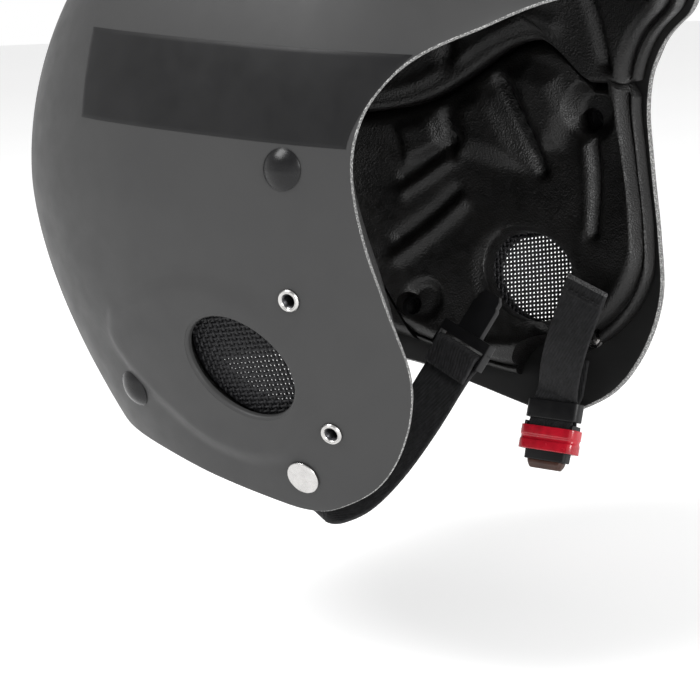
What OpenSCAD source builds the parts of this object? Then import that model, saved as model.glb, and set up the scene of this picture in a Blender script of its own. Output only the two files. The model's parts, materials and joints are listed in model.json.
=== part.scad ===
// Water helmet: moulded open-face shell with cheek pieces that cover the ears,
// foam liner, ear screens, riveted chin strap with a sprung release buckle.
// Origin: middle of the widest ring of the shell. Face towards -Y, wearer's left +X, up +Z.

/* [Shell form] */
// Half the width at the widest ring
half_w = 112; // [106:1:116]
// Reach forward from the middle at the widest ring
front_r = 125; // [120:1:130]
// Reach back from the middle at the widest ring
rear_r = 139; // [134:1:144]
// Height of the crown above the widest ring
crown_h = 140; // [134:1:146]
// Wall of the moulded shell
shell_t = 2.4; // [2:0.2:3]

/* [Liner] */
// Thickness of the foam liner
liner_t = 12; // [10:0.5:13]
// Height of the seam between the crown liner and the lower liners, at the rear
seam_z = 12; // [6:1:18]
// How far the seam arches up over the ear
arch_rise = 33; // [0:1:36]
// Width of the seam and of the gap to the shell
seam_gap = 0.8; // [0.7:0.1:1.2]

/* [Ear openings] */
// Longer half axis of the ear opening
ear_a = 22.5; // [18:0.5:24]
// Shorter half axis of the ear opening
ear_b = 17; // [14:0.5:18]
// How far the opening leans, rear end up
ear_lean = 27; // [20:1:34]

/* [Fasteners] */
// Radius of the black domed rivet heads
dome_r = 7; // [6:0.25:7.5]
// Radius of the flat strap rivet heads
strap_rivet_r = 6.2; // [5.5:0.1:6.6]
// Radius of the threaded bore in the accessory inserts
insert_bore_r = 2; // [1.5:0.25:2.25]

/* [Straps] */
// Width of the webbing
strap_w = 21; // [19:0.5:22]
// Thickness of the webbing
strap_t = 1.6; // [1.2:0.1:1.8]

/* [Hidden] */
$fn = 48;

// Side profile of the shell: rounding powers and how much each side pulls in below the ring
crown_power = 1.95;
front_n = 2.3;
rear_n = 2.75;
drop_ref = 150;
side_pull = 0.375;
side_power = 1.65;
rear_pull = 0.575;
rear_power = 1.75;
front_pull = 0.075;

// Rim of the shell on the wearer's left: [angle round from the face, height]
rim = [
    [0, 67], [28, 61], [43, 52], [52, 45], [58, 36], [62, 24], [63.5, 8], [62, -14],
    [58.5, -38], [55, -62], [56.5, -84], [62, -101], [72, -111], [80, -113],
    [90, -110.5], [106, -104.5], [125, -96], [150, -90], [180, -88]
];
rim_steps = 2;
half_cols = (len(rim) - 1) * rim_steps;
all_cols = 2 * half_cols;

// The grid fans out from a pole on the upper rear of the shell, seen from the hub
hub = [0, 0, -20];
pole_tilt = 36;
pole = [0, sin(pole_tilt), cos(pole_tilt)];

// Places on the side of the shell: [y, z]
temple_at = [-28.5, 9.5];
rear_at = [56.7, -74.6];
ear_at = [-2.3, -59];
upper_insert_at = [-26.8, -34.2];
lower_insert_at = [-33.1, -81.3];
strap_at = [-17, -99.5];

// Seam of the liner: middle of its arch, widths of the arch to the front and rear, temple part
arch_y = -9;
arch_front = 26;
arch_rear = 46;
temple_y = -20;
temple_seam = 26;

// Fastener details
shank_r = 2.4;
strap_shank_r = 2;
insert_r = 3;
insert_flange_r = 4;
insert_depth = 8;
hole_play = 0.06;
washer_r = 6;
washer_t = 0.8;
head_lift = 0.15;
dome_h = 2.6;
access_r = 5.2;

// Stack of the strap rivet below the outer face of the shell
strap_top = -3.4;
strap_mid = strap_top - strap_t / 2;
strap_low = strap_top - strap_t;

// Left strap and buckle: shift forward on the rivet, lean of the free tail, place of the bar
left_shift = -4;
tail_lean = 19.5;
tail_bend = 12;
bar_at = [-21, -7.2];
bar_r = 1.2;
loop_in = bar_r + hole_play;
loop_out = loop_in + strap_t;
bar_lead = strap_mid - bar_at[1];
lead_path = [[0, 2.1], [2.5, 1.6], [4.5, 1.1], [11, 1.1], [13.5, 2.4],
    [15.5, bar_lead], [18, bar_lead], [30, bar_lead]];
fold_path = [[0, -2.1], [2.5, -1.6], [4.5, -1.1], [13, -1.1]];
tail_path = [[0, -1.1], [3, -1.35], [6, -3.9], [12, -7.6], [22, -11.8], [36, -15.2], [50, -18]];
keeper_at = [3.4, 11.2];
keeper_half = [strap_w / 2 + 1.2, 2.4];
keeper_wall = 0.9;

// Buckle body sizes: half width, half thickness
house_w = 12;
house_t = 3.2;
window_w = strap_w / 2 + 0.3;
collar_in = [house_w + 0.25, house_t + 0.25];
collar_wall = 1.35;
collar_h = 10;
house_end = -14;
nose_end = -17.5;

// Right strap: lean of its riveted tab, its free route and the direction across the webbing
right_lean = 38;
right_route = [
    [-83.5, -11.7, -104.6], [-79.7, -9.5, -110], [-76, -9.5, -114.6], [-69, -12, -116],
    [-61, -18, -112], [-54, -27, -101], [-47, -36, -86], [-41, -43, -72], [-37.5, -46.5, -64.5]
];
right_across = [[-0.2, 0.79, 0.58], [0.24, 0.92, 0.31]];
tongue_bar_r = 1.4;
tongue_loop_in = tongue_bar_r + hole_play;
tongue_loop_out = tongue_loop_in + strap_t;
tongue_reach = 24;

// ---------- small helpers ----------

function unit(v) = v / norm(v);
function flat(lists) = [for (l = lists) for (e = l) e];
function mix(a, b, t) = a + (b - a) * t;

// Smooth curve through control points, k steps between each pair
function spline_at(p0, p1, p2, p3, t) =
    0.5 * (2 * p1 + (p2 - p0) * t + (2 * p0 - 5 * p1 + 4 * p2 - p3) * t * t
    + (3 * p1 - p0 - 3 * p2 + p3) * t * t * t);
function along(pts, x) =
    let (s = min(floor(x), len(pts) - 4))
    spline_at(pts[s], pts[s + 1], pts[s + 2], pts[s + 3], x - s);
function open_spline(pts, k) =
    let (last = len(pts) - 1)
    let (all = concat([2 * pts[0] - pts[1]], pts, [2 * pts[last] - pts[last - 1]]))
    [for (i = [0 : last * k]) along(all, i / k)];

// ---------- shell surface ----------

function drop(z) = max(-z, 0) / drop_ref;
function side_reach(z) = half_w * max(1 - side_pull * pow(drop(z), side_power), 0.05);
function rear_reach(z) = rear_r * max(1 - rear_pull * pow(drop(z), rear_power), 0.05);
function front_reach(z) = front_r * (1 - front_pull * pow(drop(z), 2));
function long_reach(y, z) = y < 0 ? front_reach(z) : rear_reach(z);
function corner_n(y) = y < 0 ? front_n : rear_n;
function dome_scale(z) = pow(1 - pow(min(max(z, 0) / crown_h, 1), crown_power), 1 / crown_power);

// Below 0 inside the shell's outer face, above 0 outside it
function level(p) =
    let (n = corner_n(p[1]))
    let (q = pow(abs(p[0]) / side_reach(p[2]), n) + pow(abs(p[1]) / long_reach(p[1], p[2]), n))
    pow(q, crown_power / n) + pow(max(p[2], 0) / crown_h, crown_power) - 1;

function normal_at(p) =
    let (h = 0.3)
    unit([for (a = [[h, 0, 0], [0, h, 0], [0, 0, h]]) level(p + a) - level(p - a)]);

// Outer face at a place on the left side
function wall_x(y, z) =
    side_reach(z) * pow(max(pow(dome_scale(z), corner_n(y))
    - pow(abs(y) / long_reach(y, z), corner_n(y)), 0), 1 / corner_n(y));
function wall(at) = [wall_x(at[0], at[1]), at[0], at[1]];

// Outer face at an angle round from the face and a height
function ring_point(angle, z) =
    let (n = corner_n(-cos(angle)), l = long_reach(-cos(angle), z))
    let (q = pow(abs(sin(angle)) / side_reach(z), n) + pow(abs(cos(angle)) / l, n))
    let (reach = dome_scale(z) / pow(q, 1 / n))
    [reach * sin(angle), -reach * cos(angle), z];

// Where a ray from the hub leaves the outer face
function ray_reach(d, lo = 20, hi = 220, k = 20) =
    let (m = (lo + hi) / 2)
    k == 0 ? m : level(hub + m * d) < 0 ? ray_reach(d, m, hi, k - 1) : ray_reach(d, lo, m, k - 1);

// Rim of the whole shell: columns run from the brow round the left side to the nape and back
rim_ends = [[[-28, 61]], [[210, -90]]];
rim_run = concat(rim_ends[0], rim, rim_ends[1]);
function rim_point(i) =
    let (r = along(rim_run, (i <= half_cols ? i : all_cols - i) / rim_steps))
    let (p = ring_point(r[0], r[1]))
    i <= half_cols ? p : [-p[0], p[1], p[2]];

// Point on the outer face, a fraction of the way from the pole to the rim along column i
function grid_dir(i, f) =
    let (b = unit(rim_point(i) - hub), a = acos(pole * b))
    (sin((1 - f) * a) * pole + sin(f * a) * b) / sin(a);
function grid_point(i, f) = let (d = grid_dir(i, f)) hub + ray_reach(d) * d;
function sink(p, depth) = p - depth * normal_at(p);

// Seam of the liner in side view: level at the rear, arched over the ear, level at the temple
function seam_height(y) =
    let (s = (y - arch_y) / (y < arch_y ? arch_front : arch_rear))
    max(seam_z + arch_rise * exp(-s * s), y < temple_y ? temple_seam : 0);

// Fraction along column i where the face comes down to the seam, lifted by some amount
function seam_at(i, lift, lo = 0.05, hi = 1, k = 14) =
    let (m = (lo + hi) / 2, p = grid_point(i, m))
    k == 0 ? m : p[2] > seam_height(p[1]) + lift ? seam_at(i, lift, m, hi, k - 1)
    : seam_at(i, lift, lo, m, k - 1);

// ---------- solids made from two matching grids ----------

function grid_faces(cols, rows, loop, flip) = flat([
    for (i = [0 : (loop ? cols : cols - 1) - 1]) for (j = [0 : rows - 2])
        let (a = i * rows + j, b = a + 1, d = (i + 1) % cols * rows + j, c = d + 1)
        flip ? [[a, c, b], [a, d, c]] : [[a, b, c], [a, c, d]]
]);
function strip_faces(cols, loop, top, low, flip) = flat([
    for (i = [0 : (loop ? cols : cols - 1) - 1])
        let (k = (i + 1) % cols, a = top[i], b = top[k], c = low[k], d = low[i])
        flip ? [[a, c, b], [a, d, c]] : [[a, b, c], [a, c, d]]
]);
function shifted(faces, n) = [for (f = faces) [for (v = f) v + n]];

// Closed solid between an outer and an inner grid of columns; a loop may close over the pole
module skin(outer, inner, loop = false, caps = []) {
    cols = len(outer);
    rows = len(outer[0]);
    n = cols * rows;
    low_out = [for (i = [0 : cols - 1]) i * rows + rows - 1];
    top_out = [for (i = [0 : cols - 1]) i * rows];
    low_in = [for (i = low_out) i + n];
    top_in = [for (i = top_out) i + n];
    caps_n = len(caps);
    cap_faces = caps_n == 0 ? strip_faces(cols, loop, top_out, top_in, false) : flat([
        for (i = [0 : cols - 1]) let (k = (i + 1) % cols)
            [[2 * n, top_out[i], top_out[k]], [2 * n + 1, top_in[k], top_in[i]]]
    ]);
    end_faces = loop ? [] : concat(
        strip_faces(rows, false, [for (j = [0 : rows - 1]) j],
            [for (j = [0 : rows - 1]) j + n], true),
        strip_faces(rows, false, [for (j = [0 : rows - 1]) n - rows + j],
            [for (j = [0 : rows - 1]) 2 * n - rows + j], false)
    );
    polyhedron(
        points = concat(flat(outer), flat(inner), caps),
        faces = concat(
            grid_faces(cols, rows, loop, false),
            shifted(grid_faces(cols, rows, loop, true), n),
            strip_faces(cols, loop, low_out, low_in, true),
            cap_faces, end_faces
        )
    );
}

// Part of the wall between two depths, on the columns listed, from top to low fractions
module wall_part(cols, rows, top, low, depth_out, depth_in, loop = false, cap = false) {
    outer = [for (k = [0 : len(cols) - 1]) [for (j = [0 : rows - 1])
        grid_point(cols[k], mix(top[k], low[k], j / (rows - 1)))]];
    peak = grid_point(0, 0.0001);
    skin(
        [for (c = outer) [for (p = c) sink(p, depth_out)]],
        [for (c = outer) [for (p = c) sink(p, depth_in)]],
        loop, cap ? [sink(peak, depth_out), sink(peak, depth_in)] : []
    );
}

// ---------- placing things on the wall ----------

// Local axes at a place on the left wall: X rearward, Y up the wall, Z outward
module on_wall(at) {
    p = wall(at);
    w = normal_at(p);
    v = unit([0, 0, 1] - w[2] * w);
    u = cross(v, w);
    multmatrix([
        [u[0], v[0], w[0], p[0]],
        [u[1], v[1], w[1], p[1]],
        [u[2], v[2], w[2], p[2]],
        [0, 0, 0, 1]
    ]) children();
}
module right_side() { mirror([1, 0, 0]) children(); }
module both_sides() { children(); right_side() children(); }
module drill(at, r, from, to) {
    on_wall(at) translate([0, 0, to]) cylinder(r = r, h = from - to);
}
module oval(a, b) {
    polygon([for (i = [0 : 10 : 350]) [a * cos(i), b * sin(i)]]);
}
module ear_cut(grow, from, to) {
    on_wall(ear_at) rotate([0, 0, ear_lean]) translate([0, 0, to])
        linear_extrude(from - to) oval(ear_a + grow, ear_b + grow);
}

// ---------- shell and liner ----------

module shell_holes() {
    ear_cut(0, 8, -12);
    for (at = [temple_at, rear_at]) drill(at, shank_r + hole_play, 6, -8);
    for (at = [upper_insert_at, lower_insert_at]) drill(at, insert_r + hole_play, 6, -8);
    drill(strap_at, strap_shank_r + hole_play, 6, -8);
}

ring_cols = [for (i = [0 : all_cols - 1]) i];

module outer_shell() {
    color("#4d4e50") difference() {
        wall_part(ring_cols, 17, [for (i = ring_cols) 0.06], [for (i = ring_cols) 1],
            0, shell_t, true, true);
        both_sides() shell_holes();
    }
}

liner_out = shell_t + seam_gap;
liner_in = liner_out + liner_t;
face_edge = 0.985;
low_edge = 0.935;

// Way through the liner to a rivet: wide round its washer, narrower further in
module access_hole(at) {
    drill(at, washer_r + 0.6, 4, -6.5);
    drill(at, access_r, 0, -24);
}

// Clear ways through the liner to the rivets, and blind pockets for the inserts
module liner_holes() {
    ear_cut(0.5, 8, -30);
    ear_cut(4, 0, -6.2);
    for (at = [temple_at, rear_at]) access_hole(at);
    for (at = [upper_insert_at, lower_insert_at]) drill(at, 6, 4, -9.5);
    on_wall(strap_at) translate([0, 0, -30]) cylinder(r = 17.5, h = 34);
}

module crown_liner() {
    color("#17171a") wall_part(ring_cols, 11, [for (i = ring_cols) 0.08],
        [for (i = ring_cols) min(seam_at(i, 0), face_edge)],
        liner_out, liner_in, true, true);
}

// Lower liners: columns of the rim grid where each starts and ends
side_cols = [for (i = [11 : 31]) i];
rear_steps = 10;
rear_inset = 0.12;
rear_cols = [for (k = [0 : rear_steps])
    mix(31 + rear_inset, all_cols - 31 - rear_inset, k / rear_steps)];
function lower_edge(i) = mix(face_edge, low_edge, min(max((i - 16) / 6, 0), 1));
function under_seam(i) = min(seam_at(i, -seam_gap), lower_edge(i) - 0.02);

module left_side_liner() {
    color("#17171a") difference() {
        wall_part(side_cols, 9, [for (i = side_cols) under_seam(i)],
            [for (i = side_cols) lower_edge(i)], liner_out, liner_in);
        liner_holes();
    }
}
module right_side_liner() { right_side() left_side_liner(); }

module rear_liner() {
    color("#17171a") difference() {
        wall_part(rear_cols, 8, [for (i = rear_cols) under_seam(i)],
            [for (i = rear_cols) low_edge], liner_out, liner_in);
        both_sides() access_hole(rear_at);
    }
}

// ---------- ear screens and side bands ----------

module left_ear_screen() {
    color("#202022") on_wall(ear_at) rotate([0, 0, ear_lean]) translate([0, 0, -5.7])
        linear_extrude(0.9) oval(ear_a + 3, ear_b + 3);
}
module right_ear_screen() { right_side() left_ear_screen(); }

// Thin film band from the face opening back: lower and upper edges in side view
band_back = 64;
band_low = [16, 25];
band_high = [45, 56];
band_t = 0.35;
function band_front(z) = mix(-50.6, -68.2, pow((z - band_low[0]) / (band_high[0] - band_low[0]), 1.5));
function band_point(s, t) =
    let (z = mix(mix(band_low[0], band_high[0], t), mix(band_low[1], band_high[1], t), s))
    let (y = mix(band_front(mix(band_low[0], band_high[0], t)), band_back, s))
    wall([y, z]);

module left_side_band() {
    grid = [for (i = [0 : 26]) [for (j = [0 : 7]) band_point(i / 26, 1 - j / 7)]];
    color("#141416") skin(
        [for (c = grid) [for (p = c) sink(p, -0.08 - band_t)]],
        [for (c = grid) [for (p = c) sink(p, -0.08)]]
    );
}
module right_side_band() { right_side() left_side_band(); }

// ---------- rivets and inserts ----------

// Domed rivet: cap outside, shank through the wall, formed head over the washer inside
module dome_rivet() {
    sphere_r = (dome_r * dome_r + dome_h * dome_h) / (2 * dome_h);
    rotate_extrude() intersection() {
        translate([0, head_lift + dome_h - sphere_r]) circle(r = sphere_r, $fn = 180);
        translate([0, head_lift]) square([dome_r, dome_h]);
    }
    translate([0, 0, -5.2]) cylinder(r = shank_r, h = 5.2 + head_lift + 0.2);
    translate([0, 0, -5.2]) cylinder(r = 3.6, h = 1);
}
module temple_rivets() { color("#161618") both_sides() on_wall(temple_at) dome_rivet(); }
module rear_rivets() { color("#161618") both_sides() on_wall(rear_at) dome_rivet(); }
module washer(r, hole, from, t) {
    translate([0, 0, from - t]) difference() {
        cylinder(r = r, h = t);
        translate([0, 0, -1]) cylinder(r = hole, h = t + 2);
    }
}
module rivet_washers() {
    color("#8d8f92") both_sides() for (at = [temple_at, rear_at])
        on_wall(at) washer(washer_r, shank_r + hole_play, -3.2, washer_t);
}

// Flanged threaded insert, open to the outside
module insert() {
    difference() {
        union() {
            translate([0, 0, head_lift]) cylinder(r1 = insert_flange_r, r2 = insert_flange_r - 0.5, h = 0.8);
            translate([0, 0, -insert_depth]) cylinder(r = insert_r, h = insert_depth + head_lift + 0.2);
            translate([0, 0, -3.9]) cylinder(r = 4.4, h = 1);
        }
        translate([0, 0, -insert_depth - 1]) cylinder(r = insert_bore_r, h = insert_depth + 4);
    }
}
module upper_inserts() { color("#b9bbbd") both_sides() on_wall(upper_insert_at) insert(); }
module lower_inserts() { color("#b9bbbd") both_sides() on_wall(lower_insert_at) insert(); }

// Flat strap rivet with its formed head over the inner washer
module strap_rivet() {
    translate([0, 0, head_lift]) cylinder(r = strap_rivet_r, h = 0.7);
    translate([0, 0, head_lift + 0.7]) cylinder(r1 = strap_rivet_r, r2 = strap_rivet_r - 0.7, h = 0.5);
    translate([0, 0, strap_low - 2]) cylinder(r = strap_shank_r, h = 2 - strap_low + head_lift + 0.2);
    translate([0, 0, strap_low - 2]) cylinder(r = 3.2, h = 0.9);
}
module left_strap_rivet() { color("#c9cbcd") on_wall(strap_at) strap_rivet(); }
module right_strap_rivet() { color("#c9cbcd") right_side() on_wall(strap_at) strap_rivet(); }
module strap_spacer() {
    color("#8d8f92") on_wall(strap_at) washer(4.5, strap_shank_r + hole_play, -2.7, 0.6);
}
module left_strap_spacer() { strap_spacer(); }
module right_strap_spacer() { right_side() strap_spacer(); }
module strap_washer() {
    color("#8d8f92") on_wall(strap_at) washer(washer_r, strap_shank_r + hole_play, strap_low - 0.15, 0.8);
}
module left_strap_washer() { strap_washer(); }
module right_strap_washer() { right_side() strap_washer(); }

// ---------- left strap, keeper and buckle ----------

// Outline of a band of webbing seen edge on, along a curve of [along, outward] points
function edge_shift(c, i, s) =
    let (a = c[max(i - 1, 0)], b = c[min(i + 1, len(c) - 1)], t = unit(b - a))
    c[i] + s * [-t[1], t[0]];
function band_outline(c) = concat(
    [for (i = [0 : len(c) - 1]) edge_shift(c, i, strap_t / 2)],
    [for (i = [len(c) - 1 : -1 : 0]) edge_shift(c, i, -strap_t / 2)]
);
// Webbing run in local axes: width along X, curve given as [Y, Z]
module webbing(path) {
    rotate([90, 0, 90]) translate([0, 0, -strap_w / 2])
        linear_extrude(strap_w) polygon(band_outline(open_spline(path, 5)));
}
module across(r, half) { rotate([0, 90, 0]) translate([0, 0, -half]) cylinder(r = r, h = 2 * half); }

// Axes of the buckle: X across the webbing, Y up it, Z outward, at the middle of the bar
module at_bar() { on_wall(strap_at) translate([left_shift, bar_at[0], bar_at[1]]) children(); }

module left_strap() {
    color("#1b1b1d") difference() {
        at_bar() union() {
            webbing(lead_path);
            webbing(fold_path);
            translate([0, tail_bend, 0]) rotate([0, 0, tail_lean]) webbing(tail_path);
            across(loop_out, strap_w / 2);
        }
        at_bar() across(loop_in, strap_w);
        drill(strap_at, strap_shank_r + hole_play, 2, -12);
    }
}

module strap_keeper() {
    color("#1d1d1f") at_bar() translate([0, keeper_at[0], 0]) rotate([-90, 0, 0])
        linear_extrude(keeper_at[1] - keeper_at[0]) difference() {
            square(2 * (keeper_half + [keeper_wall, keeper_wall]), center = true);
            square(2 * keeper_half, center = true);
        }
}

module buckle_bar() {
    color("#9a9c9f") at_bar() across(bar_r, house_w - 0.1);
}

module slab(half_width, half_thick, high, low) {
    translate([-half_width, low, -half_thick]) cube([2 * half_width, high - low, 2 * half_thick]);
}

module buckle_housing() {
    color("#161618") at_bar() difference() {
        union() {
            slab(house_w, house_t, 1.8, -9.6);
            slab(house_w - 2, house_t - 0.3, -9.6, house_end);
        }
        slab(window_w, 5, 4, -3.9);
        across(bar_r + 0.02, house_w + 2);
        translate([-5, -9, house_t - 1.2]) cube([10, 4.2, 2]);
        slab(6.5, 1.3, -7, house_end - 1);
    }
}

module buckle_nose() {
    color("#4a3028") at_bar() difference() {
        union() {
            slab(8.4, house_t - 0.6, house_end - 0.05, nose_end + 1.6);
            translate([0, nose_end + 2.6, 0]) across(house_t - 0.7, 8);
        }
        slab(6.5, 1.3, house_end + 1, nose_end - 3);
        slab(12, 5, house_end + 3, house_end - 0.05);
    }
}

module release_collar() {
    half = collar_in + [collar_wall, collar_wall];
    color("#8e1220") at_bar() translate([0, -collar_h, 0]) difference() {
        slab(half[0], half[1], collar_h, 0);
        translate([0, -1, 0]) slab(collar_in[0], collar_in[1], collar_h + 2, 0);
        translate([-half[0] + 2, collar_h / 2 - 0.8, half[1] - 0.5]) cube([2 * half[0] - 4, 1.6, 2]);
    }
}

// Zigzag leaf that returns the collar
module release_spring() {
    steps = 8;
    top = [for (i = [0 : steps]) [-4.4 + i * 1.1, i % 2 == 0 ? -8.2 : -6.2]];
    low = [for (i = [steps : -1 : 0]) [-4.4 + i * 1.1, (i % 2 == 0 ? -8.2 : -6.2) - 0.5]];
    color("#a7a9ac") at_bar() translate([0, 0, house_t - 1]) linear_extrude(0.6)
        polygon(concat(top, low));
}

// ---------- right strap and tongue ----------

right_curve = open_spline(right_route, 4);
function right_dir(i) =
    unit(right_curve[min(i + 1, len(right_curve) - 1)] - right_curve[max(i - 1, 0)]);
function right_cross(i) =
    let (b = mix(right_across[0], right_across[1], min(i / 12, 1)), t = right_dir(i))
    unit(b - (b * t) * t);
function right_ring(i) =
    let (b = right_cross(i) * strap_w / 2, n = cross(right_dir(i), right_cross(i)) * strap_t / 2)
    [for (s = [[-1, -1], [1, -1], [1, 1], [-1, 1]]) right_curve[i] + s[0] * b + s[1] * n];

// Axes at the tongue's bar: X across the webbing, Y along it, Z square to it
module at_tongue() {
    last = len(right_curve) - 1;
    t = right_dir(last);
    b = right_cross(last);
    n = cross(b, t);
    p = right_curve[last] + t * (tongue_loop_out - 0.4);
    multmatrix([
        [b[0], t[0], n[0], p[0]],
        [b[1], t[1], n[1], p[1]],
        [b[2], t[2], n[2], p[2]],
        [0, 0, 0, 1]
    ]) children();
}

module right_strap() {
    rings = [for (i = [0 : len(right_curve) - 1]) right_ring(i)];
    last = (len(rings) - 1) * 4;
    color("#1b1b1d") difference() {
        union() {
            polyhedron(points = flat(rings), faces = concat(
                flat([for (i = [0 : len(rings) - 2]) for (k = [0 : 3])
                    let (a = i * 4 + k, b = i * 4 + (k + 1) % 4)
                    [[a, a + 4, b], [b, a + 4, b + 4]]]),
                [[0, 1, 2, 3], [last + 3, last + 2, last + 1, last]]
            ));
            right_side() on_wall(strap_at) rotate([0, 0, right_lean])
                translate([-strap_w / 2, -8, strap_low]) cube([strap_w, 17, strap_t]);
            at_tongue() across(tongue_loop_out, strap_w / 2);
        }
        right_side() drill(strap_at, strap_shank_r + hole_play, 2, -12);
        at_tongue() across(tongue_loop_in, strap_w);
    }
}

module buckle_tongue() {
    wide = strap_w / 2 + 2;
    color("#161618") at_tongue() {
        difference() {
            slab(wide, 1.9, 8, -2.2);
            slab(strap_w / 2 + 0.4, 4, 4, -6);
        }
        across(tongue_bar_r, wide - 0.2);
        slab(6, 1.1, tongue_reach, 7.9);
    }
}

outer_shell();
crown_liner();
left_side_liner();
right_side_liner();
rear_liner();
left_ear_screen();
right_ear_screen();
left_side_band();
right_side_band();
temple_rivets();
rear_rivets();
rivet_washers();
upper_inserts();
lower_inserts();
left_strap_rivet();
right_strap_rivet();
left_strap_spacer();
right_strap_spacer();
left_strap_washer();
right_strap_washer();
left_strap();
strap_keeper();
buckle_bar();
buckle_housing();
buckle_nose();
release_collar();
release_spring();
right_strap();
buckle_tongue();
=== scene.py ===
import json
import math

import bmesh
import bpy
import numpy as np
from mathutils import Matrix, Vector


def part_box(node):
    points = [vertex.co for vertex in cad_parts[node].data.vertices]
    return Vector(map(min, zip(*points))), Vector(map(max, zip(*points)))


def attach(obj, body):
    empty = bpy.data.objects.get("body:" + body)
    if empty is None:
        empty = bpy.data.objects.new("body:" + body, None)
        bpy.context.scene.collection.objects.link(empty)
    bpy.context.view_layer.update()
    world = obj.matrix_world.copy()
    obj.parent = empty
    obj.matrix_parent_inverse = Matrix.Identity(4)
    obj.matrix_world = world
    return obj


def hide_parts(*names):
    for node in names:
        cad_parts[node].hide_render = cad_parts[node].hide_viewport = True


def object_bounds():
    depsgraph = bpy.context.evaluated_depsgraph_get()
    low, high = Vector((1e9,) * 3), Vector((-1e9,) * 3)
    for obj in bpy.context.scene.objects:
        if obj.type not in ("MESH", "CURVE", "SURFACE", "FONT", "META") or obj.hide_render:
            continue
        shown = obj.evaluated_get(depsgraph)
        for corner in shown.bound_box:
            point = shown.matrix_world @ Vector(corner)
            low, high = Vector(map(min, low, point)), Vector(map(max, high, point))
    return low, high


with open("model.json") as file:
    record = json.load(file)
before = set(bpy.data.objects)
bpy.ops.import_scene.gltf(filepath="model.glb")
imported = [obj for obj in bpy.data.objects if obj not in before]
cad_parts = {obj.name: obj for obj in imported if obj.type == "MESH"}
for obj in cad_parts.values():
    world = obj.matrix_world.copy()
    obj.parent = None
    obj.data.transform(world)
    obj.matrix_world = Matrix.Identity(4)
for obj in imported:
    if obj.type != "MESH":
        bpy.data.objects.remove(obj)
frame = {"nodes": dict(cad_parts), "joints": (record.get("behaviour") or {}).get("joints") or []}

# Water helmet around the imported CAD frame: moulded shell, foam liner, woven ear screens,
# rivets and inserts, webbing chin strap with a sprung release buckle.
# Shapes are worked out in millimetres: +Z up, face towards -Y, wearer's left +X.
MM = 0.001
cad_low, cad_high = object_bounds()

SIDES = (("left", 1), ("right", -1))

# ---------- sizes that the CAD part is driven by ----------

HALF_W, REAR_R, CROWN_H = np.round(np.array(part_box("outer_shell")[1]) / MM)
FRONT_R = 125.0
SHELL_T = 2.4
CROWN_POWER = 1.95
FRONT_N = 2.3
REAR_N = 2.75
DROP_REF = 150.0
SIDE_PULL, SIDE_POWER = 0.375, 1.65
REAR_PULL, REAR_POWER = 0.575, 1.75
FRONT_PULL = 0.075

# Rim of the shell on the wearer's left: angle round from the face, height
RIM = np.array([
    [-28, 61], [0, 67], [28, 61], [43, 52], [52, 45], [58, 36], [62, 24], [63.5, 8],
    [62, -14], [58.5, -38], [55, -62], [56.5, -84], [62, -101], [72, -111], [80, -113],
    [90, -110.5], [106, -104.5], [125, -96], [150, -90], [180, -88], [210, -90]
], float)
RIM_STEPS = 2
HALF_COLS = (len(RIM) - 3) * RIM_STEPS
ALL_COLS = 2 * HALF_COLS
HUB = np.array([0, 0, -20.0])
POLE_TILT = math.radians(36)
POLE = np.array([0, math.sin(POLE_TILT), math.cos(POLE_TILT)])

LINER_OUT = 3.2
LINER_T = 12.0
LINER_IN = LINER_OUT + LINER_T
SEAM_GAP = 0.8
SEAM_Z, ARCH_RISE, ARCH_Y = 12.0, 33.0, -9.0
ARCH_FRONT, ARCH_REAR = 26.0, 46.0
TEMPLE_Y, TEMPLE_SEAM = -20.0, 26.0
FACE_EDGE, LOW_EDGE = 0.985, 0.935

EAR_A, EAR_B, EAR_LEAN = 22.5, 17.0, math.radians(27)
TEMPLE_AT, REAR_AT, EAR_AT = (-28.5, 9.5), (56.7, -74.6), (-2.3, -59.0)
UPPER_INSERT_AT, LOWER_INSERT_AT = (-26.8, -34.2), (-33.1, -81.3)
STRAP_AT = (-17.0, -99.5)
DOME_R, DOME_H, HEAD_LIFT = 7.0, 2.6, 0.15
SHANK_R, STRAP_SHANK_R, INSERT_R = 2.4, 2.0, 3.0
HOLE_PLAY = 0.06
ACCESS_R = 5.2
STRAP_W, STRAP_T = 21.0, 1.6
STRAP_MID = -4.2
BAR_R = 1.2
TONGUE_BAR_R = 1.4


# ---------- small helpers ----------

def unit(v):
    return v / np.linalg.norm(v, axis=-1, keepdims=True)


def smooth(x, low, high):
    """0 below low, 1 above high, with a soft step between."""
    t = np.clip((x - low) / (high - low), 0, 1)
    return t * t * (3 - 2 * t)


def along(points, x):
    """Smooth curve through all but the first and last points; x counts its spans."""
    x = np.asarray(x, float)
    s = np.clip(np.floor(x).astype(int), 0, len(points) - 4)
    t = (x - s)[..., None]
    p0, p1, p2, p3 = (points[s + k] for k in range(4))
    return 0.5 * (2 * p1 + (p2 - p0) * t + (2 * p0 - 5 * p1 + 4 * p2 - p3) * t**2
                  + (3 * p1 - p0 - 3 * p2 + p3) * t**3)


def curve(points, steps):
    """Smooth curve through every point, with that many steps between each pair."""
    p = np.asarray(points, float)
    p = np.vstack([2 * p[0] - p[1], p, 2 * p[-1] - p[-2]])
    return along(p, np.linspace(0, len(p) - 3, (len(p) - 3) * steps + 1))


def even(points, step):
    """The same line with its points an even step apart, and how far along each one is."""
    d = np.concatenate([[0], np.cumsum(np.linalg.norm(np.diff(points, axis=0), axis=1))])
    s = np.linspace(0, d[-1], max(int(round(d[-1] / step)), 2) + 1)
    return np.stack([np.interp(s, d, points[:, k]) for k in range(points.shape[1])], -1), s


def circle(steps):
    """Points round a circle of radius 1."""
    angle = np.linspace(0, 2 * math.pi, steps, endpoint=False)
    return np.stack([np.cos(angle), np.sin(angle)], -1)


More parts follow.
